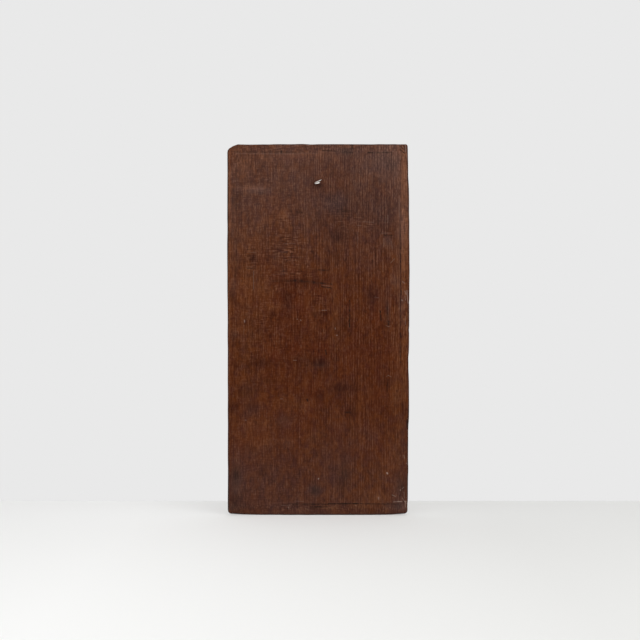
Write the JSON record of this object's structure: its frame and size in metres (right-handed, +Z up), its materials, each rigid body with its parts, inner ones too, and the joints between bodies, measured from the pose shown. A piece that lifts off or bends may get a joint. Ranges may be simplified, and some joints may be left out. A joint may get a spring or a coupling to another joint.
{
  "type": "linenfold panel",
  "caption": "Upright oak panel carved with a linenfold on its front, with a plain worn back, bevelled margins and a small screw eye for hanging.",
  "frame": {"origin": "middle of the screw eye's ring, which holds the panel up", "axes": "+Z up along the grain, -Y out of the plain back, +Y out of the carved front, +X to the right as the back is looked at"},
  "size_m": [0.2548, 0.0326, 0.52],
  "materials": {
    "aged_oak": "dark brown old oak, close straight grain, dull worn wax",
    "plated_steel": "bright plated wire, slightly dulled"
  },
  "bodies": {
    "root": {"oak_panel": "aged_oak", "screw_eye": "plated_steel"}
  },
  "joints": []
}
